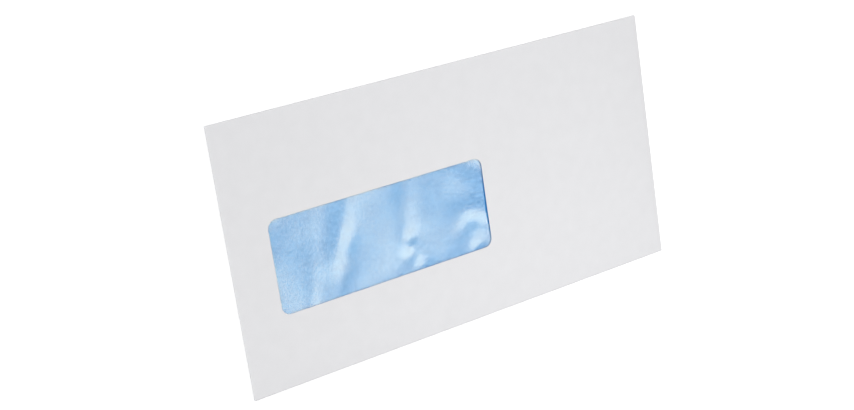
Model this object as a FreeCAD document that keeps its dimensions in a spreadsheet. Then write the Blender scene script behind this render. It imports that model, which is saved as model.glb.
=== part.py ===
"""Window envelope, landscape, folded from one sheet of paper, with a clear film behind its window.

It lies on its back with the window up, the closing flap folded in under it and not stuck down.
Frame: origin at the middle of the underside, +X along the long edge, +Y towards the closing
flap's fold, +Z up through the window. Lengths are in millimetres.

The layers, from the floor up: closing flap, back panel, two side flaps stuck to the back panel,
the pocket, the film, and the front panel.
"""

import FreeCAD, Part
import math
import os

import Sketcher

# Driving dimensions, one spreadsheet cell each
SIZES = {
    "width": 229.0,
    "height": 114.0,
    "paper": 0.12,
    # free height inside the pocket, and between the back panel and the loose closing flap
    "pocket_gap": 0.8,
    "flap_gap": 0.15,
    # the window, seen from the front
    "window_width": 109.5,
    "window_height": 40.0,
    "window_left": 19.5,
    "window_bottom": 30.5,
    "window_corner": 4.0,
    # flat tab that each corner of the front panel keeps between two turns
    "corner_tab": 1.0,
    "side_flap": 17.0,
    "side_flap_slant": 12.0,
    "side_flap_clearance": 0.9,
    # the back panel ends short of the top, and that edge is the pocket's mouth
    "throat": 18.0,
    "back_taper": 4.0,
    "back_corner": 6.0,
    "flap_depth": 40.0,
    "flap_taper": 9.0,
    "flap_corner": 12.0,
    "gum_width": 12.0,
    "gum_inset": 3.0,
    "gum_end_inset": 8.0,
    "gum_thickness": 0.03,
    "film_margin": 9.0,
    "film_thickness": 0.04,
    # the film is loose in the window and a little way behind its edge, and sags there by this much
    "film_loose": 5.0,
    "film_sag": 0.5,
}

# Sizes that follow from the driving ones, as spreadsheet expressions
PAPER = "Sizes.paper"
HALF_WIDTH = "(Sizes.width / 2)"
HALF_HEIGHT = "(Sizes.height / 2)"
BACK_LOW = f"({PAPER} + Sizes.flap_gap)"
SIDE_LOW = f"({BACK_LOW} + {PAPER})"
FRONT_LOW = f"({SIDE_LOW} + {PAPER} + Sizes.pocket_gap)"
FRONT_TOP = f"({FRONT_LOW} + {PAPER})"
SIDE_RADIUS = f"(({FRONT_TOP} - {SIDE_LOW}) / 2)"
BOTTOM_RADIUS = f"(({FRONT_TOP} - {BACK_LOW}) / 2)"
TOP_RADIUS = f"({FRONT_TOP} / 2)"
SIDE_TURN_X = f"({HALF_WIDTH} - {SIDE_RADIUS})"
BOTTOM_TURN_Y = f"({BOTTOM_RADIUS} - {HALF_HEIGHT})"
TOP_TURN_Y = f"({HALF_HEIGHT} - {TOP_RADIUS})"
TURN_END_X = f"({SIDE_TURN_X} - Sizes.corner_tab)"
SIDE_FLAP_X = f"({HALF_WIDTH} - Sizes.side_flap)"
MOUTH_Y = f"({HALF_HEIGHT} - Sizes.throat)"
FLAP_END_Y = f"({HALF_HEIGHT} - Sizes.flap_depth)"
WINDOW_LEFT = f"(Sizes.window_left - {HALF_WIDTH})"
WINDOW_RIGHT = f"({WINDOW_LEFT} + Sizes.window_width)"
WINDOW_LOW = f"(Sizes.window_bottom - {HALF_HEIGHT})"
WINDOW_HIGH = f"({WINDOW_LOW} + Sizes.window_height)"

# How far a cutting outline runs past the paper that it trims
BEYOND = "1"

# Spacing of the film's control points in mm
FILM_STEP = 2.5

# The film's ripples: x and y of the middle as shares of the window's width and height, the turn
# in degrees, half the length and half the width in mm, and the height as a share of the sag
FILM_RIPPLES = (
    (0.024, 0.032, 112, 13.7, 7.5, 0.56),
    (0.073, 1.061, 17, 24.7, 11.3, 0.99),
    (0.114, -0.316, 79, 27.3, 3.0, -0.39),
    (0.133, 0.683, 82, 6.8, 8.3, 0.23),
    (0.215, -0.181, 1, 32.0, 9.3, 0.94),
    (0.266, 0.187, 139, 6.3, 8.5, 0.80),
    (0.288, 1.270, 77, 28.0, 5.3, 0.71),
    (0.299, 0.515, 69, 32.0, 4.3, -0.42),
    (0.333, 0.508, 65, 8.1, 4.4, 0.47),
    (0.525, 0.034, 82, 12.8, 10.4, 0.60),
    (0.613, 0.568, 90, 22.9, 4.8, -0.70),
    (0.615, 0.350, 152, 3.2, 3.8, 0.51),
    (0.615, 0.189, 47, 4.7, 3.9, 0.87),
    (0.632, 0.410, 64, 32.0, 6.8, 0.26),
    (0.633, 0.203, 127, 8.5, 4.1, -0.65),
    (0.634, 0.005, 49, 8.8, 4.3, 0.75),
    (0.686, 0.341, 95, 5.6, 4.7, 0.22),
    (0.703, 1.182, 9, 25.8, 12.0, 0.93),
    (0.733, -0.080, 102, 13.6, 7.8, 0.91),
    (0.892, 0.303, 29, 5.7, 3.5, 0.32),
    (0.918, -0.016, 54, 5.0, 3.0, 0.50),
    (0.939, 0.333, 154, 6.3, 3.0, 0.37),
    (0.945, 1.000, 128, 11.0, 6.0, 0.82),
    (0.955, 0.411, 3, 14.0, 7.0, -0.67),
    (1.001, -0.188, 101, 16.5, 5.8, 1.03),
)


def size_sheet(doc):
    """The spreadsheet of driving dimensions."""
    sheet = doc.addObject("Spreadsheet::Sheet", "Sizes")
    for row, (name, value) in enumerate(SIZES.items(), start=1):
        sheet.set(f"A{row}", name)
        sheet.set(f"B{row}", str(value))
        sheet.setAlias(f"B{row}", name)
    doc.recompute()
    return sheet


def value_of(body, expression):
    """An expression's value in millimetres."""
    found = body.Document.Sizes.evalExpression(expression)
    return float(getattr(found, "Value", found))


def new_sketch(body, name, plane, level=None):
    """A sketch on one of the body's own origin planes, raised by an expression."""
    sketch = body.newObject("Sketcher::SketchObject", name)
    base = next(f for f in body.Origin.OriginFeatures if f.Role == plane)
    sketch.AttachmentSupport = [(base, "")]
    sketch.MapMode = "FlatFace"
    if level:
        sketch.setExpression("AttachmentOffset.Base.z", level)
    return sketch


def draw_outline(sketch, body, corners):
    """Adds a closed outline. Each corner is (x, y), or (x, y, centre x, centre y, turn) where the
    edge that leaves it is a round one about that centre, with turn 1 if it goes anticlockwise."""
    first = sketch.GeometryCount
    count = len(corners)
    places = [
        FreeCAD.Vector(value_of(body, c[0]), value_of(body, c[1]), 0) for c in corners
    ]
    for i, corner in enumerate(corners):
        start, end = places[i], places[(i + 1) % count]
        if len(corner) == 2:
            sketch.addGeometry(Part.LineSegment(start, end), False)
            continue
        centre = FreeCAD.Vector(
            value_of(body, corner[2]), value_of(body, corner[3]), 0
        )
        low, high = (start, end) if corner[4] > 0 else (end, start)
        circle = Part.Circle(centre, FreeCAD.Vector(0, 0, 1), (start - centre).Length)
        angles = [
            math.atan2(p.y - centre.y, p.x - centre.x) for p in (low, high)
        ]
        sketch.addGeometry(Part.ArcOfCircle(circle, *angles), False)

    def end_points(i):
        """Sketcher's numbers for the points where edge i starts and ends."""
        clockwise = len(corners[i]) > 2 and corners[i][4] < 0
        return (2, 1) if clockwise else (1, 2)

    for i, corner in enumerate(corners):
        j = (i + 1) % count
        sketch.addConstraint(
            Sketcher.Constraint(
                "Coincident", first + i, end_points(i)[1], first + j, end_points(j)[0]
            )
        )
        place_point(sketch, first + i, end_points(i)[0], corner[0], corner[1], places[i])
        if len(corner) > 2:
            # the ends are placed, so one coordinate settles the centre
            upright = abs(places[i].x - places[j].x) < abs(places[i].y - places[j].y)
            kind, expression = ("DistanceX", corner[2]) if upright else ("DistanceY", corner[3])
            bind(sketch, kind, first + i, 3, expression, value_of(body, expression))
    body.Document.recompute()


def place_point(sketch, edge, point, x, y, place):
    """Holds a point at the place that two expressions give."""
    bind(sketch, "DistanceX", edge, point, x, place.x)
    bind(sketch, "DistanceY", edge, point, y, place.y)


def bind(sketch, kind, edge, point, expression, value):
    """One distance from the sketch's origin, bound to an expression."""
    index = sketch.addConstraint(
        Sketcher.Constraint(kind, -1, 1, edge, point, value)
    )
    sketch.setExpression(f"Constraints[{index}]", expression)


def pad(body, name, sketch, length, symmetric=False):
    """Adds the sketch's outline, drawn out to a length."""
    feature = body.newObject("PartDesign::Pad", name)
    feature.Profile = sketch
    if symmetric:
        feature.SideType = "Symmetric"
    feature.setExpression("Length", length)
    body.Document.recompute()
    return feature


def pocket(body, name, sketch, depth):
    """Cuts the sketch's outline downwards, and checks that paper was cut away."""
    before = body.Shape.Volume
    feature = body.newObject("PartDesign::Pocket", name)
    feature.Profile = sketch
    feature.setExpression("Length", depth)
    body.Document.recompute()
    if not body.Shape.Volume < before:
        raise RuntimeError(f"{name} cuts nothing")
    return feature


def minus(expression):
    """An expression with its sign turned."""
    return f"(-{expression})"


def both_sides(corners):
    """An outline on the right, and its mirror image on the left."""
    mirrored = []
    for x, y, *edge in corners:
        if edge:
            edge = [minus(edge[0]), edge[1], -edge[2]]
        mirrored.append((minus(x), y, *edge))
    return corners, mirrored


def front_and_sides(body):
    """The front panel with the turn at each side and the side flaps behind it."""
    sketch = new_sketch(body, "front_section", "XZ_Plane")
    side_top = f"({SIDE_LOW} + {PAPER})"
    middle = f"({SIDE_LOW} + {SIDE_RADIUS})"
    right = (SIDE_TURN_X, middle)
    left = (minus(SIDE_TURN_X), middle)
    draw_outline(
        sketch,
        body,
        [
            (minus(SIDE_FLAP_X), SIDE_LOW),
            (minus(SIDE_TURN_X), SIDE_LOW, *left, -1),
            (minus(SIDE_TURN_X), FRONT_TOP),
            (SIDE_TURN_X, FRONT_TOP, *right, -1),
            (SIDE_TURN_X, SIDE_LOW),
            (SIDE_FLAP_X, SIDE_LOW),
            (SIDE_FLAP_X, side_top),
            (SIDE_TURN_X, side_top, *right, 1),
            (SIDE_TURN_X, FRONT_LOW),
            (minus(SIDE_TURN_X), FRONT_LOW, *left, 1),
            (minus(SIDE_TURN_X), side_top),
            (minus(SIDE_FLAP_X), side_top),
        ],
    )
    pad(body, "front_and_sides", sketch, "Sizes.height", symmetric=True)


def trim_side_flaps(body):
    """Cuts the slanted ends of the side flaps, which keep clear of the other two turns."""
    sketch = new_sketch(body, "side_flap_ends", "XY_Plane", FRONT_LOW)
    outer = f"({HALF_WIDTH} + {BEYOND})"
    inner = f"({SIDE_FLAP_X} - {BEYOND})"
    ends = (
        (BOTTOM_RADIUS, "-1"),
        (TOP_RADIUS, "1"),
    )
    for radius, side in ends:
        fold = f"({side} * ({HALF_HEIGHT} - {radius} - Sizes.side_flap_clearance))"
        slant = f"({side} * ({HALF_HEIGHT} - {radius} - Sizes.side_flap_clearance"
        slant += " - Sizes.side_flap_slant))"
        edge = f"({side} * ({HALF_HEIGHT} + {BEYOND}))"
        corner = [
            (outer, edge),
            (outer, fold),
            (SIDE_TURN_X, fold),
            (SIDE_FLAP_X, slant),
            (inner, slant),
            (inner, edge),
        ]
        for outline in both_sides(corner):
            draw_outline(sketch, body, outline)
    pocket(body, "trim_side_flaps", sketch, f"({FRONT_LOW} - {BACK_LOW})")


def open_turns(body):
    """Takes the flat paper away where the bottom and top turns begin."""
    sketch = new_sketch(body, "turn_slots", "XY_Plane", FRONT_TOP)
    left = minus(TURN_END_X)
    below = f"(-{HALF_HEIGHT} - {BEYOND})"
    above = f"({HALF_HEIGHT} + {BEYOND})"
    for low, high in ((below, BOTTOM_TURN_Y), (TOP_TURN_Y, above)):
        draw_outline(
            sketch,
            body,
            [(left, low), (TURN_END_X, low), (TURN_END_X, high), (left, high)],
        )
    pocket(body, "open_turns", sketch, f"({PAPER} + Sizes.pocket_gap / 2)")


def turned_panel(body, name, turn_y, end_y, level, turn):
    """A turn of the paper from the front panel down to a level, and the panel that follows it."""
    sketch = new_sketch(body, f"{name}_section", "YZ_Plane")
    upper = f"({level} + {PAPER})"
    centre = (turn_y, f"(({FRONT_TOP} + {level}) / 2)")
    draw_outline(
        sketch,
        body,
        [
            (turn_y, FRONT_TOP, *centre, turn),
            (turn_y, level),
            (end_y, level),
            (end_y, upper),
            (turn_y, upper, *centre, -turn),
            (turn_y, FRONT_LOW),
        ],
    )
    pad(body, name, sketch, f"(2 * {TURN_END_X})", symmetric=True)


def taper_panel(body, name, panel, taper, radius, way):
    """Slants a turned panel's two side edges, from its turn to its free edge, and rounds the
    corners there. The panel is (turn, free edge, level), and way is 1 if it runs towards +Y."""
    turn_y, end_y, level = panel
    sketch = new_sketch(body, f"{name}_outline", "XY_Plane", f"({level} + {PAPER})")
    outer = f"({TURN_END_X} + {BEYOND})"
    past = f"({end_y} + {way} * {BEYOND})"
    length = f"({way} * ({end_y} - {turn_y}))"
    # the slanted side is longer than the panel by this factor
    slant = f"(hypot({taper}; {length}) / {length})"
    side_x = f"({TURN_END_X} - {taper} * ({length} - {radius}) / {length})"
    centre_x = f"({side_x} - {radius} * {slant})"
    centre_y = f"({end_y} - {way} * {radius})"
    side_y = f"({centre_y} + {way} * {radius} * {taper} / {length} / {slant})"
    corner = [
        (TURN_END_X, turn_y),
        (outer, turn_y),
        (outer, past),
        (centre_x, past),
        (centre_x, end_y, centre_x, centre_y, -way),
        (f"({centre_x} + {radius} / {slant})", side_y),
    ]
    for outline in both_sides(corner):
        draw_outline(sketch, body, outline)
    pocket(body, name, sketch, f"({PAPER} + Sizes.flap_gap / 2)")


def cut_window(body):
    """The die-cut window in the front panel."""
    sketch = new_sketch(body, "window_outline", "XY_Plane", FRONT_TOP)
    draw_outline(sketch, body, rounded_window())
    pocket(body, "window", sketch, f"({PAPER} + Sizes.pocket_gap / 2)")


def rounded_window():
    """The window's outline, anticlockwise from the left end of its lower edge."""
    corner = "Sizes.window_corner"
    left, right = f"({WINDOW_LEFT} + {corner})", f"({WINDOW_RIGHT} - {corner})"
    low, high = f"({WINDOW_LOW} + {corner})", f"({WINDOW_HIGH} - {corner})"
    return [
        (left, WINDOW_LOW),
        (right, WINDOW_LOW, right, low, 1),
        (WINDOW_RIGHT, low),
        (WINDOW_RIGHT, high, right, high, 1),
        (right, WINDOW_HIGH),
        (left, WINDOW_HIGH, left, high, 1),
        (WINDOW_LEFT, high),
        (WINDOW_LEFT, low, left, low, 1),
    ]


def paper_sheet(doc):
    """The envelope itself: one sheet, folded round and stuck at its two side seams."""
    body = doc.addObject("PartDesign::Body", "folded_paper")
    front_and_sides(body)
    trim_side_flaps(body)
    open_turns(body)
    turned_panel(body, "back_panel", BOTTOM_TURN_Y, MOUTH_Y, BACK_LOW, 1)
    taper_panel(
        body,
        "taper_back_panel",
        (BOTTOM_TURN_Y, MOUTH_Y, BACK_LOW),
        "Sizes.back_taper",
        "Sizes.back_corner",
        1,
    )
    turned_panel(body, "closing_flap", TOP_TURN_Y, FLAP_END_Y, "0", -1)
    taper_panel(
        body,
        "taper_flap",
        (TOP_TURN_Y, FLAP_END_Y, "0"),
        "Sizes.flap_taper",
        "Sizes.flap_corner",
        -1,
    )
    cut_window(body)
    return body


def gum_band(doc):
    """The dry gum on the closing flap's inner face, along its free edge."""
    body = doc.addObject("PartDesign::Body", "flap_gum")
    sketch = new_sketch(body, "gum_outline", "XY_Plane", PAPER)
    low = f"({FLAP_END_Y} + Sizes.gum_inset)"
    high = f"({low} + Sizes.gum_width)"
    right = f"({TURN_END_X} - Sizes.flap_taper - Sizes.gum_end_inset)"
    left = minus(right)
    draw_outline(sketch, body, [(left, low), (right, low), (right, high), (left, high)])
    pad(body, "gum", sketch, "Sizes.gum_thickness")
    return body


def ripple_height(x, y, ripple):
    """A ripple's height at a point: highest in its middle, and fading along and across it."""
    middle_x, middle_y, turn, length, width, height = ripple
    offset = FreeCAD.Vector(x - middle_x, y - middle_y, 0)
    angle = math.radians(turn)
    along = offset.x * math.cos(angle) + offset.y * math.sin(angle)
    across = offset.y * math.cos(angle) - offset.x * math.sin(angle)
    return height * math.exp(-((along / length) ** 2) - (across / width) ** 2)


def window_film(doc):
    """The clear film behind the window: flat where it is stuck to the paper, and loose in the
    window, where it sags into the pocket and lies in soft ripples."""
    feature = doc.addObject("Part::Feature", "window_film")

    def read(expression):
        return value_of(feature, expression)

    left, right, low, high = (
        read(e) for e in (WINDOW_LEFT, WINDOW_RIGHT, WINDOW_LOW, WINDOW_HIGH)
    )
    level, margin = read(FRONT_LOW), read("Sizes.film_margin")
    loose, sag = read("Sizes.film_loose"), read("Sizes.film_sag")
    ripples = [
        (left + a * (right - left), low + b * (high - low), *shape)
        for a, b, *shape in FILM_RIPPLES
    ]

    def drop(x, y):
        """How far the film hangs below the paper."""
        edge = min(x - left, right - x, y - low, high - y)
        share = min(1.0, max(0.0, (edge + loose) / loose))
        free = share * share * (3 - 2 * share)
        raised = sum(ripple_height(x, y, ripple) for ripple in ripples)
        return sag * free * max(0.0, 1 - raised)

    def grid(start, end):
        count = max(6, round((end - start) / FILM_STEP) + 1)
        return [start + (end - start) * i / (count - 1) for i in range(count)]

    xs = grid(left - margin, right + margin)
    ys = grid(low - margin, high + margin)
    poles = [[FreeCAD.Vector(x, y, level - drop(x, y)) for y in ys] for x in xs]
    degree = 3
    knots, counts = zip(*(knot_row(len(row), degree) for row in (xs, ys)))
    surface = Part.BSplineSurface()
    surface.buildFromPolesMultsKnots(
        poles, *counts, *knots, False, False, degree, degree
    )
    down = FreeCAD.Vector(0, 0, -read("Sizes.film_thickness"))
    feature.Shape = surface.toShape().extrude(down)
    return feature


def knot_row(poles, degree):
    """Evenly spaced knots for a row of poles that starts and ends on its first and last pole."""
    spans = poles - degree
    knots = [float(i) for i in range(spans + 1)]
    counts = [degree + 1] + [1] * (spans - 1) + [degree + 1]
    return knots, counts


def check(objects):
    """Stops before anything is written if a feature failed or a shape isn't one sound solid."""
    for item in FreeCAD.ActiveDocument.Objects:
        if "Invalid" in item.State or "Error" in item.State:
            raise RuntimeError(f"{item.Label} failed: {item.State}")
    for item in objects:
        shape = item.Shape
        if shape.isNull() or not shape.isValid() or len(shape.Solids) != 1:
            raise RuntimeError(f"{item.Label} isn't one sound solid")


def main():
    doc = FreeCAD.newDocument("window_envelope")
    size_sheet(doc)
    made = [paper_sheet(doc), window_film(doc), gum_band(doc)]
    doc.recompute()
    check(made)
    os.makedirs("parts", exist_ok=True)
    for item in made:
        item.Shape.exportStep(f"parts/{item.Label}.step")
        box = item.Shape.BoundBox
        print(
            f"{item.Label}: {box.XLength:.2f} x {box.YLength:.2f} x {box.ZLength:.2f} mm,"
            f" {item.Shape.Volume:.1f} mm3, {len(item.Shape.Faces)} faces"
        )


main()
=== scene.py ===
import math

import bmesh
import bpy
from mathutils import Matrix, Quaternion, Vector, noise


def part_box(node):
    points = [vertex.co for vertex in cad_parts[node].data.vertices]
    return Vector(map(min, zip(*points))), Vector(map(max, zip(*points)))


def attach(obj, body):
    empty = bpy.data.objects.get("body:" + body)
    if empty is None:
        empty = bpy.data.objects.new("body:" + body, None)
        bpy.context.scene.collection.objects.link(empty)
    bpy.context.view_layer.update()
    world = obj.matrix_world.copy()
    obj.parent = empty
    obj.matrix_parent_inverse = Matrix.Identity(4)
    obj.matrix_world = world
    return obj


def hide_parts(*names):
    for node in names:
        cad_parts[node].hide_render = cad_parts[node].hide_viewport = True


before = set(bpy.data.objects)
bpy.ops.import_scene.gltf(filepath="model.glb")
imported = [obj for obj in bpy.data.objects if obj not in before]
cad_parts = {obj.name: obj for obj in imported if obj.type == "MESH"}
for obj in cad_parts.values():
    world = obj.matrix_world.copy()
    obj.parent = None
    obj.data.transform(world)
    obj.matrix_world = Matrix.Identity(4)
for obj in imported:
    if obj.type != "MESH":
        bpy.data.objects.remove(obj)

bl_info = {
    "name": "Window Envelope",
    "version": (1, 0, 0),
    "blender": (4, 5, 0),
    "location": "3D View > Sidebar > Envelope",
    "description": "Folds a letter envelope with a film-covered window, and lights it",
    "category": "Add Mesh",
}

# Lengths of the paper and the film are worked out in millimetres and scaled when a mesh is done
MM = 0.001

PAPER_LOW, PAPER_HIGH = (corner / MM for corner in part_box("folded_paper"))
FILM_LOW, FILM_HIGH = (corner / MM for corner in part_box("window_film"))
WIDTH = PAPER_HIGH.x - PAPER_LOW.x
HEIGHT = PAPER_HIGH.y - PAPER_LOW.y
STACK = PAPER_HIGH.z - PAPER_LOW.z
# the gum lies on the closing flap, so it starts one thickness of the paper up
PAPER = (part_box("flap_gum")[0] / MM).z

# Flat tab that each corner of the front panel keeps between two turns
CORNER_TAB = 1.0
# Hair's breadths that keep a side flap off the back panel, and the film off the front panel
SEAM_GAP = 0.01
FILM_GAP = 0.005
# Room under the top of the CAD model's box for the front panel's soft waves, their height, the
# lengths of their noise along x and y, and the slice of the noise that they come from
WAVE_ROOM = 0.02
WAVE_HEIGHT = 0.09
WAVE_LENGTHS = (55, 45)
WAVE_SLICE = 3.7

# Spacing of the paper's mesh
PAPER_CELL = 2.0
# How far from a vertex a cut still goes through it
SNAP = 1e-5
# Steps between the cutting lines round a corner
CORNER_STEPS = 8
# Angle between two faces past which their edge looks sharp, in degrees
SHARP_ANGLE = 40

# The photograph's width in pixels, and the directions of its right and upper sides
PHOTO_WIDTH = 854
CAMERA_RIGHT = Vector((0.79574, -0.14590, 0.58780))
CAMERA_UP = Vector((0.26489, 0.95664, -0.12115))

# Half the floor's side, and the distances from the object over which it turns plain white
FLOOR_HALF = 4
FLOOR_FADE = (0.25, 0.6)


class EnvelopePaper(bpy.types.PropertyGroup):
    """Sizes of the folded sheet that the frame doesn't give, and its colours"""

    flap_gap: bpy.props.FloatProperty(
        name="Flap gap",
        description="Gap between the closing flap and the back panel, in millimetres",
        default=0.15,
        min=0.05,
    )
    edge_stack: bpy.props.FloatProperty(
        name="Stack at the creases",
        description="Height of the front panel above the table at its creases, in millimetres",
        default=1.0,
        min=0.8,
    )
    swell: bpy.props.FloatProperty(
        name="Swell length",
        description="Distance over which the front panel rises from its creases, in millimetres",
        default=7.0,
        min=1.0,
    )
    side_flap: bpy.props.FloatProperty(
        name="Side flap",
        description="Width of each glued side flap, in millimetres",
        default=17.0,
    )
    side_slant: bpy.props.FloatProperty(
        name="Side flap slant",
        description="How much shorter each end of a side flap is at its free edge, in millimetres",
        default=12.0,
    )
    side_clearance: bpy.props.FloatProperty(
        name="Side flap clearance",
        description="Gap between a side flap's end and the creases above and below, in millimetres",
        default=0.9,
    )
    throat: bpy.props.FloatProperty(
        name="Throat",
        description="How far the back panel ends below the top, in millimetres",
        default=18.0,
    )
    back_taper: bpy.props.FloatProperty(
        name="Back panel taper",
        description="How far each side of the back panel slants in, in millimetres",
        default=4.0,
    )
    back_corner: bpy.props.FloatProperty(
        name="Back panel corner",
        description="Radius of the back panel's corners, in millimetres",
        default=6.0,
    )
    flap_depth: bpy.props.FloatProperty(
        name="Closing flap",
        description="Depth of the closing flap, in millimetres",
        default=40.0,
    )
    flap_taper: bpy.props.FloatProperty(
        name="Closing flap taper",
        description="How far each side of the closing flap slants in, in millimetres",
        default=9.0,
    )
    flap_corner: bpy.props.FloatProperty(
        name="Closing flap corner",
        description="Radius of the closing flap's corners, in millimetres",
        default=12.0,
    )
    film_margin: bpy.props.FloatProperty(
        name="Film margin",
        description="How far the film reaches behind the paper round the window, in millimetres",
        default=9.0,
    )
    window_corner: bpy.props.FloatProperty(
        name="Window corner",
        description="Radius of the window's corners, in millimetres",
        default=4.0,
    )
    outside: bpy.props.FloatVectorProperty(
        name="Outside",
        description="Colour of the white paper",
        subtype="COLOR",
        size=4,
        min=0,
        max=1,
        default=(0.765, 0.765, 0.781, 1),
    )
    ink: bpy.props.FloatVectorProperty(
        name="Inside",
        description="Colour of the security tint inside",
        subtype="COLOR",
        size=4,
        min=0,
        max=1,
        default=(0.005, 0.222, 0.607, 1),
    )


class EnvelopeFilm(bpy.types.PropertyGroup):
    """Shape and gloss of the window's film"""

    cell: bpy.props.FloatProperty(
        name="Cell",
        description="Spacing of the film's mesh, in millimetres",
        default=0.6,
        min=0.3,
    )
    thickness: bpy.props.FloatProperty(
        name="Thickness",
        description="Thickness of the film, in millimetres",
        default=0.04,
    )
    level: bpy.props.FloatProperty(
        name="Level",
        description="Height that the loose film hangs from, in millimetres",
        default=1.27,
    )
    sag: bpy.props.FloatProperty(
        name="Sag",
        description="How far the loose film hangs down between its ripples, in millimetres",
        default=0.5,
        min=0.1,
    )
    loose: bpy.props.FloatProperty(
        name="Loose margin",
        description="How far the film is loose behind the paper round the window, in millimetres",
        default=5.0,
        min=1.0,
    )
    index: bpy.props.FloatProperty(
        name="Refractive index",
        description="How strongly the film's two faces mirror together, as one refractive index",
        default=1.96,
    )


class EnvelopeStage(bpy.types.PropertyGroup):
    """The photograph's camera and light"""

    focal_pixels: bpy.props.FloatProperty(
        name="Focal length",
        description="Focal length, in pixels of a picture that is 854 wide",
        default=1631.8,
    )
    shift_x: bpy.props.FloatProperty(
        name="Shift X",
        description="Sideways shift of the camera's frame, as a share of its width",
        default=-0.0009,
    )
    shift_y: bpy.props.FloatProperty(
        name="Shift Y",
        description="Upward shift of the camera's frame, as a share of its width",
        default=0.0476,
    )
    distance: bpy.props.FloatVectorProperty(
        name="Camera place",
        description="Camera's place from the middle of the front panel",
        subtype="TRANSLATION",
        unit="LENGTH",
        default=(-0.4011, 0.1592, 0.5599),
    )
    softbox: bpy.props.FloatProperty(
        name="Softbox",
        description="Brightness of the overhead softbox, where white is 1",
        default=4.65,
    )
    fill: bpy.props.FloatProperty(
        name="Fill",
        description="Brightness of the near fill light over the lower right, where white is 1",
        default=2.68,
    )
    front: bpy.props.FloatProperty(
        name="Front",
        description="Brightness of the wide light beside the camera, where white is 1",
        default=7.63,
    )
    sky: bpy.props.FloatProperty(
        name="Room",
        description="Brightness of the room all round, where white is 1",
        default=0.22,
    )


# The flat sheet


def strips(radius, count):
    """Width of each of the flat strips that turn into half a circle."""
    return 2 * radius * math.sin(math.pi / (2 * count))


class Sheet:
    """Where the creases and outlines lie on the flat sheet, with the front panel in its place."""

    turns = 10

    def __init__(self, paper):
        self.back = PAPER + paper.flap_gap
        self.edge = paper.edge_stack
        self.side_level = self.back + PAPER + SEAM_GAP
        self.side_radius = (self.edge - self.side_level) / 2
        self.bottom_radius = (self.edge - self.back) / 2
        self.top_radius = self.edge / 2
        self.side_x = WIDTH / 2 - self.side_radius
        self.bottom_y = self.bottom_radius - HEIGHT / 2
        self.top_y = HEIGHT / 2 - self.top_radius
        # the flat places where each turn ends
        self.side_end = self.side_x + self.turns * strips(self.side_radius, self.turns)
        self.bottom_end = self.bottom_y - self.turns * strips(self.bottom_radius, self.turns)
        self.top_end = self.top_y + self.turns * strips(self.top_radius, self.turns)
        self.reach_x = self.side_end + paper.side_flap - self.side_radius
        self.mouth = self.bottom_end - (HEIGHT / 2 - paper.throat - self.bottom_y)
        self.flap_tip = self.top_end + self.top_y - (HEIGHT / 2 - paper.flap_depth)
        self.panel_x = self.side_x - CORNER_TAB
        self.window_low = FILM_LOW + Vector((1, 1, 0)) * paper.film_margin
        self.window_high = FILM_HIGH - Vector((1, 1, 0)) * paper.film_margin


def line(point, towards):
    """A cutting line through a flat point. It keeps what lies on its left, seen along its way."""
    point, towards = Vector((*point, 0)), Vector((*towards, 0))
    way = (towards - point).normalized()
    return point, Vector((way.y, -way.x, 0))


def arc_lines(centre, radius, start, stop):
    """Cutting lines that touch a round corner, from one angle to another in degrees."""
    found = []
    for i in range(CORNER_STEPS + 1):
        angle = math.radians(start + (stop - start) * i / CORNER_STEPS)
        out = Vector((math.cos(angle), math.sin(angle), 0))
        found.append((Vector((*centre, 0)) + out * radius, out))
    return found


def inside(point, lines):
    """Whether a flat point lies on the kept side of every cutting line."""
    return all((point - at).dot(out) < 0 for at, out in lines)


def cut(bm, lines, near):
    """Cuts the faces of one region along each line."""
    for at, out in lines:
        faces = [f for f in bm.faces if near(f.calc_center_median())]
        touched = {part for f in faces for part in (f, *f.edges, *f.verts)}
        bmesh.ops.bisect_plane(bm, geom=list(touched), dist=SNAP, plane_co=at, plane_no=out)


def cut_across(bm, axis, wanted, low, high):
    """Cuts the whole sheet at the wanted places on an axis, and between them about every cell."""
    normal = Vector((0, 0, 0))
    normal[axis] = 1
    places = sorted({round(p, 5) for p in wanted if low < p < high} | {low, high})
    found = []
    for start, stop in zip(places, places[1:]):
        count = max(1, round((stop - start) / PAPER_CELL))
        found += [start + (stop - start) * i / count for i in range(1, count + 1)]
    for place in found[:-1]:
        everything = [*bm.verts, *bm.edges, *bm.faces]
        bmesh.ops.bisect_plane(
            bm, geom=everything, dist=SNAP, plane_co=normal * place, plane_no=normal
        )


def turn_places(start, end, count):
    """The flat places of the small folds that make one turn."""
    return [start + (end - start) * i / count for i in range(count + 1)]


def tapered(sheet, turn, end, taper, corner, away):
    """Lines round a tapered panel's outline on the right, and the place of its corner."""
    length = abs(end - turn)
    slant = math.hypot(taper, length) / length
    centre = (
        sheet.panel_x - taper * (length - corner) / length - corner * slant,
        end - away * corner,
    )
    foot, tip = (sheet.panel_x, turn), (sheet.panel_x - taper, end)
    side = line(foot, tip) if away > 0 else line(tip, foot)
    lean = math.degrees(math.atan2(taper, length))
    round_lines = arc_lines(centre, corner, away * lean, away * 90)
    return side, round_lines, Vector((*centre, 0))


def mirrored(lines, x_side, y_side=1):
    """Cutting lines of the right and upper side, moved to the left where x_side is -1, and to the
    lower side where y_side is -1."""
    flip = Vector((x_side, y_side, 1))
    return [(at * flip, out * flip) for at, out in lines]


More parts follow.
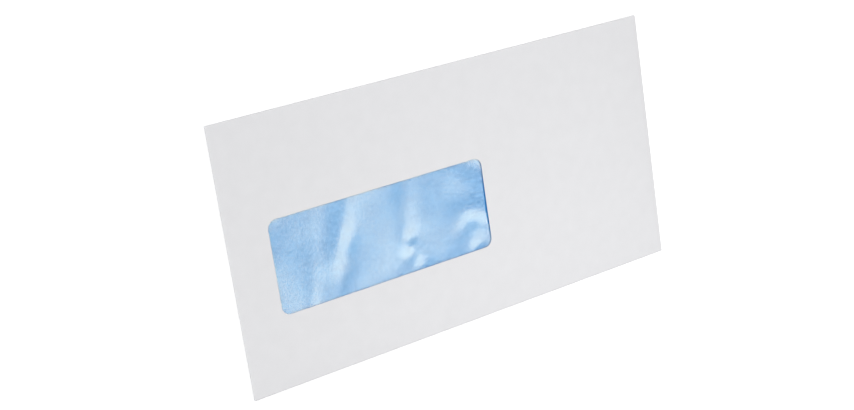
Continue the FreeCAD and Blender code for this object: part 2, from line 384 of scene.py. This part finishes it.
def cut_side_flaps(bm, paper, sheet):
    """Slants the side flaps' ends. Returns their cutting lines, by side."""
    fold_y = HEIGHT / 2 - paper.side_clearance
    tip_y = fold_y - paper.side_slant
    at, out = line((sheet.side_end, fold_y), (sheet.reach_x, tip_y))
    ends = {}
    for x_side in (1, -1):
        for y_side in (1, -1):
            lines = mirrored([(at, -out)], x_side, y_side)
            low = tip_y - PAPER_CELL
            cut(
                bm,
                lines,
                lambda p: p.x * x_side > sheet.side_end and low < p.y * y_side < HEIGHT / 2,
            )
            ends[x_side, y_side] = lines
    return ends


def cut_panels(bm, paper, sheet):
    """Tapers the back panel and the closing flap. Returns each one's turn, its way from there,
    its cutting lines and its corner's centre, on the right."""
    panels = []
    for turn, end, taper, corner, away in (
        (sheet.bottom_end, sheet.mouth, paper.back_taper, paper.back_corner, -1),
        (sheet.top_end, sheet.flap_tip, paper.flap_taper, paper.flap_corner, 1),
    ):
        side, round_lines, centre = tapered(sheet, turn, end, taper, corner, away)
        for lines, x, y in (([side], 0, turn), (round_lines, centre.x, centre.y)):
            for flip in (1, -1):
                cut(
                    bm,
                    mirrored(lines, flip),
                    lambda p: p.x * flip > x and (p.y - y) * away > 0,
                )
        panels.append((turn, away, side, round_lines, centre))
    return panels


def cut_window(bm, paper, sheet):
    """Cuts the window's round corners. Returns the cutting lines all round it."""
    corner = paper.window_corner
    low, high = sheet.window_low, sheet.window_high
    window = []
    for start, x, y in (
        (0, high.x - corner, high.y - corner),
        (90, low.x + corner, high.y - corner),
        (180, low.x + corner, low.y + corner),
        (270, high.x - corner, low.y + corner),
    ):
        lines = arc_lines((x, y), corner, start, start + 90)
        window += lines
        # the square that is cut lies mostly on the corner's outer side
        centre = Vector((x, y, 0))
        middle = centre + (lines[CORNER_STEPS // 2][0] - centre) * 0.75
        cut(bm, lines, lambda p: max(abs(p.x - middle.x), abs(p.y - middle.y)) < corner)
    return window


def blank(paper, sheet):
    """The die-cut sheet, flat, with its window."""
    bm = bmesh.new()
    bmesh.ops.create_grid(bm, x_segments=1, y_segments=1, size=0.5)
    low = Vector((-sheet.reach_x, sheet.mouth, 0))
    high = Vector((sheet.reach_x, sheet.flap_tip, 0))
    size = high - low
    bmesh.ops.scale(bm, vec=(size.x, size.y, 1), verts=bm.verts)
    bmesh.ops.translate(bm, vec=(low + high) / 2, verts=bm.verts)

    side = turn_places(sheet.side_x, sheet.side_end, sheet.turns)
    at_x = [*side, sheet.panel_x, sheet.window_low.x, sheet.window_high.x]
    at_x += [-x for x in (*side, sheet.panel_x)]
    at_y = [
        *turn_places(sheet.bottom_y, sheet.bottom_end, sheet.turns),
        *turn_places(sheet.top_y, sheet.top_end, sheet.turns),
        *(sheet.window_low.y, sheet.window_high.y),
        *(-HEIGHT / 2, HEIGHT / 2),
    ]
    cut_across(bm, 0, at_x, low.x, high.x)
    cut_across(bm, 1, at_y, low.y, high.y)
    ends = cut_side_flaps(bm, paper, sheet)
    panels = cut_panels(bm, paper, sheet)
    window = cut_window(bm, paper, sheet)

    side_half = (sheet.side_x + sheet.side_end) / 2
    bottom_half = (sheet.bottom_y + sheet.bottom_end) / 2
    top_half = (sheet.top_y + sheet.top_end) / 2
    fold_y = HEIGHT / 2 - paper.side_clearance

    def waste(face):
        p = face.calc_center_median()
        p.z = 0
        if inside(p, window):
            return True
        # the corners between two turns
        if abs(p.x) > sheet.side_x and not sheet.bottom_y < p.y < sheet.top_y:
            return True
        if abs(p.x) > sheet.panel_x and not bottom_half < p.y < top_half:
            return True
        if abs(p.x) > side_half and abs(p.y) > fold_y:
            return True
        if abs(p.x) > sheet.side_end:
            return not inside(p, ends[math.copysign(1, p.x), math.copysign(1, p.y)])
        q = Vector((abs(p.x), p.y, 0))
        for turn, away, side_line, round_lines, centre in panels:
            if (q.y - turn) * away > 0:
                at_corner = q.x > centre.x and (q.y - centre.y) * away > 0
                return not inside(q, round_lines if at_corner else [side_line])
        return False

    bmesh.ops.delete(bm, geom=[f for f in bm.faces if waste(f)], context="FACES")
    return bm


def fold(bm, flat, axis, along, start, end, count, way):
    """Turns all that lies past a crease half round, in small steps, the outermost first."""
    step = math.pi / count
    sign = math.copysign(1, end - start)
    for i, place in reversed(list(enumerate(turn_places(start, end, count)))):
        angle = step / 2 if i in (0, count) else step
        moved = [v for v in bm.verts if (flat[v][along] - place) * sign > 1e-4]
        centre = Vector((0, 0, 0))
        centre[along] = place
        bmesh.ops.rotate(
            bm, verts=moved, cent=centre, matrix=Matrix.Rotation(way * angle, 3, axis)
        )


def rise(distance, length):
    """From 0 at a crease to 1 far from it."""
    return 1 - math.exp(-max(distance, 0) / length)


def front_level(paper, sheet, x, y):
    """Height of the front panel's outer face, which swells a little between its creases."""
    sides = rise(sheet.side_x - abs(x), paper.swell)
    ends = rise(min(y - sheet.bottom_y, sheet.top_y - y), paper.swell)
    place = Vector((x / WAVE_LENGTHS[0], y / WAVE_LENGTHS[1], WAVE_SLICE))
    wave = noise.noise(place) * WAVE_HEIGHT
    return sheet.edge + (STACK - sheet.edge - WAVE_ROOM + wave) * sides * ends


def add_piece(name, bm, scale=1.0):
    """A new object from a bmesh, which is scaled to metres."""
    bmesh.ops.scale(bm, vec=(scale, scale, scale), verts=bm.verts)
    mesh = bpy.data.meshes.new(name)
    bm.to_mesh(mesh)
    bm.free()
    piece = bpy.data.objects.new(name, mesh)
    bpy.context.scene.collection.objects.link(piece)
    return piece


def thicken(piece, thickness, inner, rim):
    """Gives a sheet its thickness inwards, with its own materials inside and at its edges, and
    makes it smooth but for its sharp edges."""
    wall = piece.modifiers.new("thickness", "SOLIDIFY")
    wall.thickness = thickness * MM
    wall.offset = -1
    wall.use_even_offset = True
    wall.material_offset = inner
    wall.material_offset_rim = rim
    graph = bpy.context.evaluated_depsgraph_get()
    solid = bpy.data.meshes.new_from_object(piece.evaluated_get(graph))
    piece.modifiers.clear()
    piece.data = solid
    solid.shade_smooth()
    solid.set_sharp_from_angle(angle=math.radians(SHARP_ANGLE))


# Materials


class Nodes:
    """Short ways to add and join a material's nodes."""

    def __init__(self, name):
        self.material = bpy.data.materials.new(name)
        self.material.use_nodes = True
        self.tree = self.material.node_tree
        self.tree.nodes.clear()

    def add(self, kind, **inputs):
        """A new node with some of its sockets or settings filled in."""
        node = self.tree.nodes.new(f"ShaderNode{kind}")
        for key, value in inputs.items():
            socket = key.replace("_", " ")
            if hasattr(node, key) and key not in node.inputs:
                setattr(node, key, value)
            else:
                node.inputs[socket].default_value = value
        return node

    def join(self, source, target):
        self.tree.links.new(source, target)

    def output(self, shader):
        """The finished material."""
        self.join(shader, self.add("OutputMaterial").inputs["Surface"])
        return self.material

    def noise(self, vector, scale, detail, roughness):
        """A noise pattern with about as many features per unit as its scale."""
        node = self.add("TexNoise", Scale=scale, Detail=detail, Roughness=roughness)
        self.join(vector, node.inputs["Vector"])
        return node.outputs["Fac"]

    def stretched(self, vector, scale):
        """A place that runs faster or slower along each axis."""
        node = self.add("Mapping", Scale=scale)
        self.join(vector, node.inputs["Vector"])
        return node.outputs["Vector"]

    def between(self, factor, low, high, colours):
        """A ramp from one colour to another as a factor runs from low to high."""
        ramp = self.add("ValToRGB")
        self.join(factor, ramp.inputs["Fac"])
        for stop, place, colour in zip(ramp.color_ramp.elements, (low, high), colours):
            stop.position = place
            stop.color = colour
        return ramp.outputs["Color"]

    def bump(self, height, strength, distance):
        """A normal that leans with a height pattern."""
        node = self.add("Bump", Strength=strength, Distance=distance)
        self.join(height, node.inputs["Height"])
        return node.outputs["Normal"]

    def math(self, operation, a, b):
        """An operation on two terms, each a number or a socket."""
        node = self.add("Math", operation=operation)
        for value, socket in zip((a, b), node.inputs):
            if isinstance(value, (int, float)):
                socket.default_value = value
            else:
                self.join(value, socket)
        return node.outputs["Value"]

    def blend(self, *parts):
        """The sum of some patterns, each with its share."""
        total = None
        for pattern, share in parts:
            part = self.math("MULTIPLY", pattern, share)
            total = part if total is None else self.math("ADD", total, part)
        return total


def tone(colour, factor):
    """A lighter or darker tone of a colour."""
    return (*(c * factor for c in colour[:3]), 1)


def wove_paper(paper):
    """Uncoated white paper: cloudy formation, fine fibres, and a faint tooth."""
    made = Nodes("white_wove_paper")
    place = made.add("TexCoord").outputs["Object"]
    clouds = made.noise(place, 160, 4, 0.55)
    fibres = made.noise(made.stretched(place, (1, 3.5, 1)), 1500, 3, 0.6)
    tooth = made.noise(place, 5200, 2, 0.5)
    mixed = made.blend((clouds, 0.6), (fibres, 0.4))
    tones = tone(paper.outside, 0.975), tone(paper.outside, 1.015)
    colour = made.between(mixed, 0.3, 0.7, tones)
    relief = made.blend((fibres, 0.7), (tooth, 0.3))
    shader = made.add("BsdfPrincipled", Roughness=0.88, IOR=1.4)
    made.join(colour, shader.inputs["Base Color"])
    made.join(made.bump(relief, 0.25, 0.00004), shader.inputs["Normal"])
    return made.output(shader.outputs["BSDF"])


def security_tint(paper):
    """The printed inside: short flecks of blue ink with the white paper showing between them."""
    made = Nodes("blue_security_tint")
    place = made.add("TexCoord").outputs["UV"]
    flecks = made.noise(made.stretched(place, (1, 0.7, 1)), 1000, 1, 0.5)
    dots = made.noise(place, 2300, 1, 0.5)
    clouds = made.noise(place, 120, 3, 0.5)
    mixed = made.blend((flecks, 0.55), (dots, 0.25), (clouds, 0.2))
    light = (0.145, 0.463, 0.862, 1)
    colour = made.between(mixed, 0.365, 0.635, (tuple(paper.ink), light))
    shader = made.add("BsdfPrincipled", Roughness=0.8, IOR=1.4)
    made.join(colour, shader.inputs["Base Color"])
    return made.output(shader.outputs["BSDF"])


def cut_edge(paper):
    """The sheet's bare core where the die cut it."""
    made = Nodes("cut_paper_edge")
    place = made.add("TexCoord").outputs["Object"]
    torn = made.noise(place, 4000, 3, 0.6)
    tones = tone(paper.outside, 0.95), tone(paper.outside, 1.04)
    colour = made.between(torn, 0.3, 0.7, tones)
    shader = made.add("BsdfPrincipled", Roughness=0.95, IOR=1.4)
    made.join(colour, shader.inputs["Base Color"])
    made.join(made.bump(torn, 0.3, 0.00003), shader.inputs["Normal"])
    return made.output(shader.outputs["BSDF"])


def clear_film(film):
    """Clear film: it lets the inside show, and mirrors the softbox where its ripples face it."""
    made = Nodes("clear_film")
    place = made.add("TexCoord").outputs["Object"]
    grain = made.noise(place, 900, 3, 0.6)
    normal = made.bump(grain, 0.15, 0.00002)
    fresnel = made.add("Fresnel", IOR=film.index)
    made.join(normal, fresnel.inputs["Normal"])
    gloss = made.add("BsdfGlossy", Roughness=0.2)
    made.join(normal, gloss.inputs["Normal"])
    # seen steeply, its reflections are slightly warm
    tints = (1, 0.88, 0.5, 1), (1, 1, 1, 1)
    tint = made.between(fresnel.outputs["Fac"], 0.15, 0.35, tints)
    made.join(tint, gloss.inputs["Color"])
    clear = made.add("BsdfTransparent", Color=(1, 1, 1, 1))
    # from below, light only passes through
    above = made.math("SUBTRACT", 1.0, made.add("NewGeometry").outputs["Backfacing"])
    both = made.add("MixShader")
    made.join(made.math("MULTIPLY", fresnel.outputs["Fac"], above), both.inputs["Fac"])
    made.join(clear.outputs["BSDF"], both.inputs[1])
    made.join(gloss.outputs["BSDF"], both.inputs[2])
    return made.output(both.outputs["Shader"])


def film_back():
    """The film's hidden face, which only lets light through."""
    made = Nodes("clear_film_back")
    clear = made.add("BsdfTransparent", Color=(1, 1, 1, 1))
    return made.output(clear.outputs["BSDF"])


def gum():
    """Dried gum: a thin, slightly yellow gloss with a crackled surface."""
    made = Nodes("dry_gum")
    place = made.add("TexCoord").outputs["Object"]
    streaks = made.noise(made.stretched(place, (0.4, 2.5, 1)), 300, 4, 0.6)
    colour = made.between(streaks, 0.3, 0.75, ((0.70, 0.69, 0.60, 1), (0.82, 0.81, 0.75, 1)))
    shader = made.add("BsdfPrincipled", Roughness=0.28, IOR=1.5)
    made.join(colour, shader.inputs["Base Color"])
    made.join(made.bump(streaks, 0.3, 0.00005), shader.inputs["Normal"])
    return made.output(shader.outputs["BSDF"])


# The film's ripples: x and y of the middle as shares of the window's width and height, the turn
# in degrees, half the length and half the width in mm, and the height as a share of the sag
RIPPLES = (
    (0.037, 0.046, 104, 13.2, 6.2, 0.56),
    (0.040, 1.041, 16, 33.4, 11.9, 0.88),
    (0.103, -0.333, 78, 27.1, 2.6, -0.33),
    (0.122, 0.682, 94, 6.7, 7.8, 0.20),
    (0.193, -0.126, 5, 35.7, 8.4, 0.75),
    (0.263, 0.201, 140, 6.8, 9.8, 0.73),
    (0.289, 1.320, 75, 37.1, 5.6, 0.60),
    (0.305, 0.624, 69, 30.1, 3.9, -0.32),
    (0.338, 0.542, 63, 6.2, 3.7, 0.40),
    (0.507, 0.032, 97, 14.4, 8.6, 0.44),
    (0.609, 0.346, 160, 3.4, 3.6, 0.87),
    (0.611, 0.531, 92, 30.4, 5.1, -0.81),
    (0.612, 0.208, 49, 4.5, 3.8, 1.30),
    (0.618, 0.242, 117, 7.4, 3.9, -1.20),
    (0.630, 0.461, 63, 38.8, 7.8, 0.35),
    (0.631, 0.030, 63, 7.9, 5.3, 1.23),
    (0.639, 1.129, 14, 17.9, 11.3, 0.80),
    (0.647, 0.360, 82, 6.4, 10.7, 0.24),
    (0.747, -0.028, 104, 12.4, 6.3, 0.82),
    (0.888, 0.311, 28, 6.3, 3.9, 0.35),
    (0.920, 0.026, 41, 3.4, 2.7, 0.43),
    (0.930, 1.000, 145, 19.7, 6.4, 0.87),
    (0.942, 0.375, 168, 12.7, 8.0, -0.96),
    (0.963, 0.305, 154, 9.3, 3.3, 0.44),
    (0.991, -0.027, 113, 26.8, 6.1, 0.92),
)


def ripple_height(x, y, low, size):
    """Height of all ripples together at a point, as a share of the sag."""
    total = 0
    for share_x, share_y, turn, length, width, height in RIPPLES:
        angle = math.radians(turn)
        over, up = x - low.x - share_x * size.x, y - low.y - share_y * size.y
        along = over * math.cos(angle) + up * math.sin(angle)
        across = up * math.cos(angle) - over * math.sin(angle)
        total += height * math.exp(-((along / length) ** 2) - (across / width) ** 2)
    return total


def film_level(paper, film, sheet, x, y):
    """Height of the film's upper face, loose in the window and stuck to the paper round it."""
    low, high = sheet.window_low, sheet.window_high
    stuck = front_level(paper, sheet, x, y) - PAPER - FILM_GAP
    edge = min(x - low.x, high.x - x, y - low.y, high.y - y)
    share = min(1, max(0, (edge + film.loose) / film.loose))
    free = share * share * (3 - 2 * share)
    hung = film.level - film.sag * (1 - ripple_height(x, y, low, high - low))
    return min(stuck, stuck + (hung - stuck) * free)


# Operators


class ENVELOPE_OT_paper(bpy.types.Operator):
    """Cut the flat sheet and fold it round its creases"""

    bl_idname = "envelope.paper"
    bl_label = "Folded Paper"

    def execute(self, context):
        paper = context.scene.envelope_paper
        sheet = Sheet(paper)
        bm = blank(paper, sheet)
        layer = bm.loops.layers.uv.new("sheet")
        low = Vector((-sheet.reach_x, sheet.mouth))
        for face in bm.faces:
            for loop in face.loops:
                loop[layer].uv = (loop.vert.co.xy - low) * MM
        flat = {v: v.co.copy() for v in bm.verts}
        for axis, along, start, end, way in (
            ("Y", 0, sheet.side_x, sheet.side_end, 1),
            ("Y", 0, -sheet.side_x, -sheet.side_end, -1),
            ("X", 1, sheet.bottom_y, sheet.bottom_end, 1),
            ("X", 1, sheet.top_y, sheet.top_end, -1),
        ):
            fold(bm, flat, axis, along, start, end, sheet.turns, way)
        for vert in bm.verts:
            x, y, _ = flat[vert]
            if abs(x) <= sheet.side_x and sheet.bottom_y <= y <= sheet.top_y:
                vert.co.z = front_level(paper, sheet, x, y)
            else:
                vert.co.z += sheet.edge
        piece = add_piece("envelope_sheet", bm, MM)
        for material in (wove_paper(paper), security_tint(paper), cut_edge(paper)):
            piece.data.materials.append(material)
        thicken(piece, PAPER, 1, 2)
        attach(piece, "root")
        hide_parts("folded_paper")
        return {"FINISHED"}


class ENVELOPE_OT_film(bpy.types.Operator):
    """Hang the creased film behind the window"""

    bl_idname = "envelope.film"
    bl_label = "Window Film"

    def execute(self, context):
        paper, film = context.scene.envelope_paper, context.scene.envelope_film
        sheet = Sheet(paper)
        size = FILM_HIGH - FILM_LOW
        bm = bmesh.new()
        columns, rows = round(size.x / film.cell), round(size.y / film.cell)
        bmesh.ops.create_grid(bm, x_segments=columns, y_segments=rows, size=0.5)
        bmesh.ops.scale(bm, vec=(size.x, size.y, 1), verts=bm.verts)
        bmesh.ops.translate(bm, vec=(FILM_HIGH + FILM_LOW).xy.to_3d() / 2, verts=bm.verts)
        for vert in bm.verts:
            x, y, _ = vert.co
            vert.co.z = film_level(paper, film, sheet, x, y)
        piece = add_piece("creased_window_film", bm, MM)
        piece.data.materials.append(clear_film(film))
        piece.data.materials.append(film_back())
        thicken(piece, film.thickness, 1, 1)
        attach(piece, "root")
        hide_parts("window_film")
        return {"FINISHED"}


class ENVELOPE_OT_gum(bpy.types.Operator):
    """Give the gum band on the closing flap its finish"""

    bl_idname = "envelope.gum"
    bl_label = "Flap Gum"

    def execute(self, context):
        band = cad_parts["flap_gum"]
        band.data.materials.clear()
        band.data.materials.append(gum())
        return {"FINISHED"}


def area_light(name, brightness, aim, towards, distance, size, turn=0):
    """A square light of an even brightness, where white is 1, that faces a point. It stands at a
    distance from it, on the side given by towards, and turn spins it about its middle."""
    data = bpy.data.lights.new(name, "AREA")
    data.shape = "SQUARE"
    data.size = size
    data.energy = brightness * math.pi * size * size
    lamp = bpy.data.objects.new(name, data)
    bpy.context.scene.collection.objects.link(lamp)
    towards = Vector(towards).normalized()
    lamp.location = aim + towards * distance
    lamp.rotation_mode = "QUATERNION"
    about = Quaternion((0, 0, 1), math.radians(turn))
    lamp.rotation_quaternion = towards.to_track_quat("Z", "Y") @ about
    return lamp


def background_ray(tree):
    """1 for rays that show the background: the camera's, and those off or through a gloss."""
    path = tree.nodes.new("ShaderNodeLightPath")
    total = path.outputs["Is Camera Ray"]
    for kind in ("Is Glossy Ray", "Is Transmission Ray"):
        either = tree.nodes.new("ShaderNodeMath")
        either.operation = "MAXIMUM"
        tree.links.new(total, either.inputs[0])
        tree.links.new(path.outputs[kind], either.inputs[1])
        total = either.outputs["Value"]
    return total


def floor_material():
    """Pale floor that shows as white, with the object's shadow on it."""
    made = Nodes("studio_floor")
    diffuse = made.add("BsdfDiffuse", Color=(0.8, 0.8, 0.8, 1))
    glow = made.add("Emission", Color=(1, 1, 1, 1), Strength=0.42)
    lifted = made.add("AddShader")
    made.join(diffuse.outputs["BSDF"], lifted.inputs[0])
    made.join(glow.outputs["Emission"], lifted.inputs[1])
    # far from the object it is plain white from every side
    away = made.add("VectorMath", operation="LENGTH")
    made.join(made.add("TexCoord").outputs["Object"], away.inputs[0])
    far = made.between(away.outputs["Value"], *FLOOR_FADE, ((0, 0, 0, 1), (1, 1, 1, 1)))
    white = made.add("Emission", Color=(1, 1, 1, 1), Strength=1.0)
    shown = made.add("MixShader")
    made.join(far, shown.inputs["Fac"])
    made.join(lifted.outputs["Shader"], shown.inputs[1])
    made.join(white.outputs["Emission"], shown.inputs[2])
    mixed = made.add("MixShader")
    made.join(background_ray(made.tree), mixed.inputs["Fac"])
    made.join(diffuse.outputs["BSDF"], mixed.inputs[1])
    made.join(shown.outputs["Shader"], mixed.inputs[2])
    # its glow is only for show, so it isn't sampled as a lamp
    made.material.cycles.emission_sampling = "NONE"
    return made.output(mixed.outputs["Shader"])


def studio_world(brightness):
    """An even room, which shows as white."""
    world = bpy.data.worlds.new("studio")
    world.use_nodes = True
    tree = world.node_tree
    tree.nodes.clear()
    room = tree.nodes.new("ShaderNodeBackground")
    room.inputs["Strength"].default_value = brightness
    seen = tree.nodes.new("ShaderNodeBackground")
    seen.inputs["Strength"].default_value = 1
    for background in (room, seen):
        background.inputs["Color"].default_value = (1, 1, 1, 1)
    mixed = tree.nodes.new("ShaderNodeMixShader")
    out = tree.nodes.new("ShaderNodeOutputWorld")
    tree.links.new(background_ray(tree), mixed.inputs["Fac"])
    tree.links.new(room.outputs["Background"], mixed.inputs[1])
    tree.links.new(seen.outputs["Background"], mixed.inputs[2])
    tree.links.new(mixed.outputs["Shader"], out.inputs["Surface"])
    bpy.context.scene.world = world


class ENVELOPE_OT_stage(bpy.types.Operator):
    """Set up the floor, the lights and the photograph's camera"""

    bl_idname = "envelope.stage"
    bl_label = "Stage"

    def execute(self, context):
        stage = context.scene.envelope_stage
        middle = Vector((0, 0, STACK * MM))

        bm = bmesh.new()
        bmesh.ops.create_grid(bm, x_segments=1, y_segments=1, size=FLOOR_HALF)
        floor = add_piece("floor", bm)
        floor.data.materials.append(floor_material())

        area_light(
            "front", stage.front, middle, towards=(-0.60, 0.42, 0.68), distance=3.0, size=1.6
        )
        fill = area_light(
            "fill", stage.fill, middle, towards=(0.185, -0.236, 0.84), distance=0.4, size=0.3
        )
        softbox = area_light(
            "softbox",
            stage.softbox,
            middle,
            towards=(0.471, 0.022, 0.882),
            distance=3.0,
            size=1.608,
            turn=9.3,
        )
        # the fill only lights the paper, and the softbox only shines in the film
        fill.visible_glossy = False
        softbox.visible_diffuse = False
        studio_world(stage.sky)

        data = bpy.data.cameras.new("camera")
        data.sensor_fit = "HORIZONTAL"
        data.sensor_width = 36
        data.lens = stage.focal_pixels / PHOTO_WIDTH * data.sensor_width
        data.clip_start, data.clip_end = 0.01, 20
        data.shift_x, data.shift_y = stage.shift_x, stage.shift_y
        camera = bpy.data.objects.new("camera", data)
        back = CAMERA_RIGHT.cross(CAMERA_UP)
        turn = Matrix((CAMERA_RIGHT, CAMERA_UP, back)).transposed().to_4x4()
        camera.matrix_world = Matrix.Translation(middle + Vector(stage.distance)) @ turn
        context.scene.collection.objects.link(camera)
        context.scene.camera = camera
        context.scene.view_settings.view_transform = "Standard"
        return {"FINISHED"}


class ENVELOPE_PT_sidebar(bpy.types.Panel):
    """Sizes and settings of the envelope, with a button for each piece and the stage"""

    bl_idname = "ENVELOPE_PT_sidebar"
    bl_label = "Envelope"
    bl_space_type = "VIEW_3D"
    bl_region_type = "UI"
    bl_category = "Envelope"

    def draw(self, context):
        layout = self.layout
        groups = (
            (context.scene.envelope_paper, ("envelope.paper", "envelope.gum")),
            (context.scene.envelope_film, ("envelope.film",)),
            (context.scene.envelope_stage, ("envelope.stage",)),
        )
        for group, operators in groups:
            column = layout.column(align=True)
            for name in group.__annotations__:
                column.prop(group, name)
            for operator in operators:
                column.operator(operator)


CLASSES = (
    EnvelopePaper,
    EnvelopeFilm,
    EnvelopeStage,
    ENVELOPE_OT_paper,
    ENVELOPE_OT_film,
    ENVELOPE_OT_gum,
    ENVELOPE_OT_stage,
    ENVELOPE_PT_sidebar,
)
GROUPS = {
    "envelope_paper": EnvelopePaper,
    "envelope_film": EnvelopeFilm,
    "envelope_stage": EnvelopeStage,
}


def register():
    for cls in CLASSES:
        bpy.utils.register_class(cls)
    for name, group in GROUPS.items():
        setattr(bpy.types.Scene, name, bpy.props.PointerProperty(type=group))


def unregister():
    for name in GROUPS:
        delattr(bpy.types.Scene, name)
    for cls in reversed(CLASSES):
        bpy.utils.unregister_class(cls)


def main():
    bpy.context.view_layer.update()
    register()
    bpy.ops.envelope.paper()
    bpy.ops.envelope.film()
    bpy.ops.envelope.gum()
    bpy.ops.envelope.stage()


if __name__ == "__main__":
    main()
